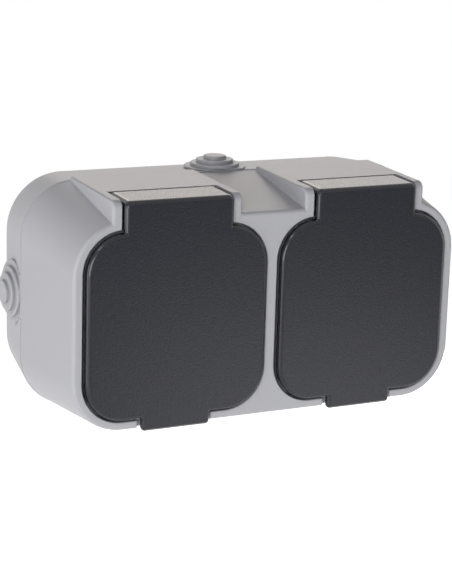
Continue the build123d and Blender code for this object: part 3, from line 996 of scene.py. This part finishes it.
def draw_legs(spring, start, end, front_y, back_y, foot_z):
    """Draw the wire's first end forward, and its last end down to a height and back."""
    bend = LEG_BEND * MM
    bpy.ops.object.mode_set(mode="EDIT")
    bpy.ops.mesh.select_mode(type="VERT")
    pick_ring(spring, start)
    draw_out((0, front_y - start.y, 0))
    bpy.ops.mesh.edge_face_add()
    pick_ring(spring, end)
    bend_about((end.x, end.y, end.z - bend))
    draw_out((0, 0, foot_z + bend - (end.z - bend)))
    bend_about((end.x, end.y, foot_z + bend))
    draw_out((0, back_y - end.y, 0))
    bpy.ops.mesh.edge_face_add()
    bpy.ops.mesh.select_all(action="SELECT")
    bpy.ops.mesh.remove_doubles(threshold=MERGE)
    bpy.ops.mesh.normals_make_consistent(inside=False)
    bpy.ops.object.mode_set(mode="OBJECT")


print("legs bend by a radius of", LEG_BEND, "mm")

# %% [markdown]
# Lid springs on their pins
#
# A spring that rides on one body would leave its other leg behind when the lid opens. So it is put on
# neither body here, and stays where it is wound.

# %% Wind the springs and round the pins


def make_spring(side):
    """A close-wound spring between one lid and the cover."""
    low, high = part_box(f"lid_spring_{side}")
    joint = next(row for row in frame["joints"] if row["name"] == f"{side}_lid_hinge")
    hinge = Vector(joint["pos_m"])
    half = WIRE / 2 * MM
    coil = high.z - half - hinge.z
    first, last = low.x + half, high.x - half
    spring = wind_coil(f"lid_coil_{side}", first, last, hinge, coil)
    start = Vector((first, hinge.y, hinge.z + coil))
    end = Vector((last, hinge.y, hinge.z - coil))
    draw_legs(spring, start, end, low.y, high.y, low.z + half)
    dress(spring, "steel", f"lid_spring_{side}")
    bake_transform(spring)


for side in SIDES:
    make_spring(side)
    make_pin(side)

# %% [markdown]
# Screws in the wells
#
# One long screw in the middle of each well draws insert and carrier to the base. Its head has a cross
# recess. The cutter for the recess starts as a small cube whose four sides are pulled out, and its
# inner end is drawn in, as on a driver's tip. A Boolean modifier cuts it from the rounded head, which
# keeps its edges crisp, where extruding the head's own faces would need a cross drawn on them first.

# %% Cut the screw heads
RECESS_WIDTH = 0.9
RECESS_ARM = 1.35
RECESS_DEPTH = 1.3
RECESS_TAPER = 0.55
RECESS_SIDE = 0.49
HEAD_EDGE = 0.35
HEAD_CORNER = 0.10


def pull_out(tip, place, side):
    """Pull out the face of the cutter's core that looks to one side."""
    bpy.ops.mesh.select_mode(type="FACE")
    bpy.ops.mesh.select_all(action="DESELECT")
    mesh = bmesh.from_edit_mesh(tip.data)
    for face in mesh.faces:
        away = (face.calc_center_median() - place).dot(side)
        face.select_set(away > RECESS_SIDE * RECESS_WIDTH * MM and face.normal.dot(side) > SQUARE_ON)
    bpy.ops.mesh.extrude_region_move(TRANSFORM_OT_translate={"value": side * RECESS_ARM * MM})


def make_driver_tip(place):
    """A tapered cross whose middle lies at a place on the screw's face."""
    bpy.ops.object.select_all(action="DESELECT")
    bpy.ops.mesh.primitive_cube_add(size=RECESS_WIDTH * MM, location=place)
    tip = bpy.context.object
    bpy.ops.transform.resize(value=(1, 2 * RECESS_DEPTH / RECESS_WIDTH, 1))
    bpy.ops.object.transform_apply(location=True, rotation=True, scale=True)
    bpy.ops.object.mode_set(mode="EDIT")
    for axis in ((1, 0, 0), (-1, 0, 0), (0, 0, 1), (0, 0, -1)):
        pull_out(tip, place, Vector(axis))
    bpy.ops.mesh.select_mode(type="VERT")
    bpy.ops.mesh.select_all(action="DESELECT")
    mesh = bmesh.from_edit_mesh(tip.data)
    for vert in mesh.verts:
        vert.select_set(vert.co.y > place.y)
    mesh.select_flush(True)
    bpy.ops.transform.resize(value=(RECESS_TAPER, 1, RECESS_TAPER), center_override=place)
    bpy.ops.object.mode_set(mode="OBJECT")
    return tip


screws = skin_copy("insert_screws", "well_screws")
soften(screws, ROUND_STEPS, by_turn(HEAD_EDGE, HEAD_CORNER))
face_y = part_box("insert_screws")[0].y
for side in SIDES:
    low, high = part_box(f"socket_insert_{side}")
    cut_away(screws, make_driver_tip(Vector(((low.x + high.x) / 2, face_y, (low.z + high.z) / 2))))
settle(screws, "housing", "steel", "insert_screws")

# %% [markdown]
# Bent strips
#
# Earth clips, contacts, rails and terminals are stamped and bent from strip. They could be drawn flat
# and folded, but the solids are folded already. A real bend has an inner and an outer radius, and a
# stamped edge loses its burr. Slanted edges are bends here, so they get a wide round, and the
# right-angled edges of the strip only a fine one.

# %% Round the strips
STRIP_BEND = 0.45
STRIP_EDGE = 0.08


def strip_rounding(middle, angle, convex):
    """Wide on bends, fine on stamped edges."""
    return STRIP_BEND if angle < SLANT else STRIP_EDGE


strips = [row["node"] for row in frame["record"]["subparts"] if row["material_slot"] == "contact"]
for name in strips:
    strip = skin_copy(name, f"{name}_strip")
    soften(strip, ROUND_STEPS, strip_rounding)
    settle(strip, "housing", "contact", name)
